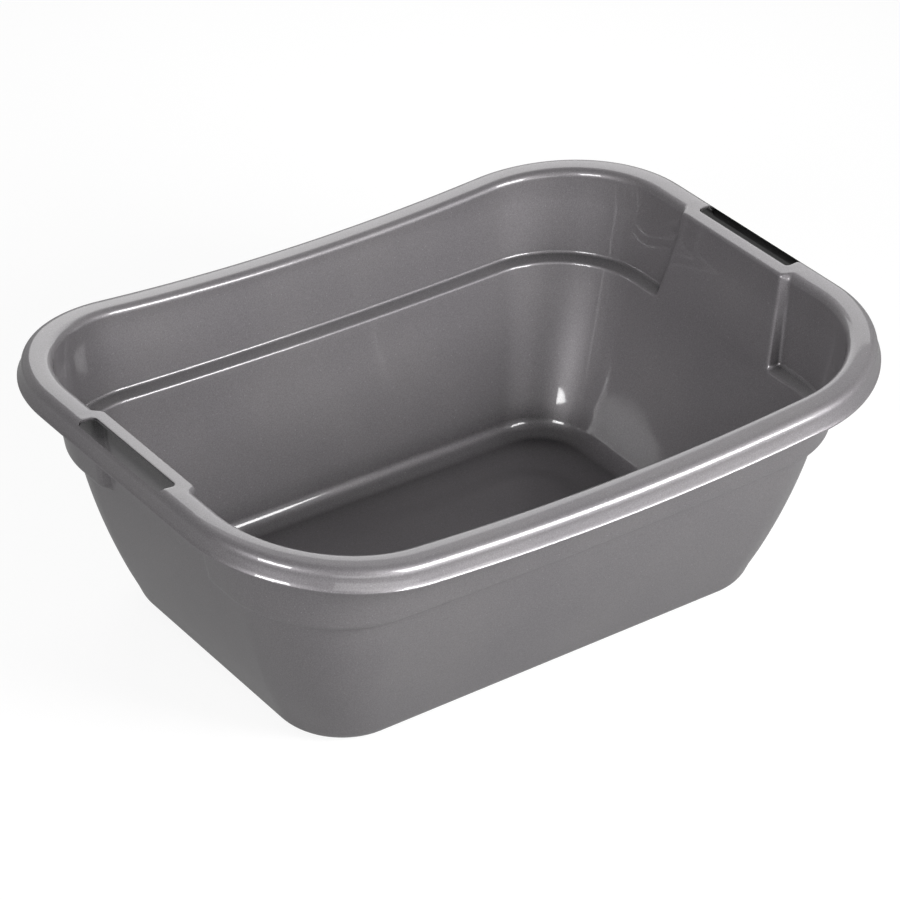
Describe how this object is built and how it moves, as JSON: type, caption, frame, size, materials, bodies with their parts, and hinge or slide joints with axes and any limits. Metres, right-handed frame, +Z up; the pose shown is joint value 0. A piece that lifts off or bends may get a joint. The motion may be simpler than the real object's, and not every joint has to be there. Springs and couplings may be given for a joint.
{
  "type": "household tub",
  "caption": "Rectangular plastic wash tub with rounded corners, tapered walls, an inner ledge and a finger slot in the rim at each end.",
  "frame": {"origin": "middle of the tub's outline, on the plane it stands on", "axes": "+X along the long sides towards one finger slot, +Y across, +Z up"},
  "size_m": [0.56, 0.407, 0.2034],
  "materials": {
    "graphite_gloss_plastic": "glossy moulded plastic with fine metallic flake"
  },
  "bodies": {
    "root": {"tub": "graphite_gloss_plastic"}
  },
  "joints": []
}
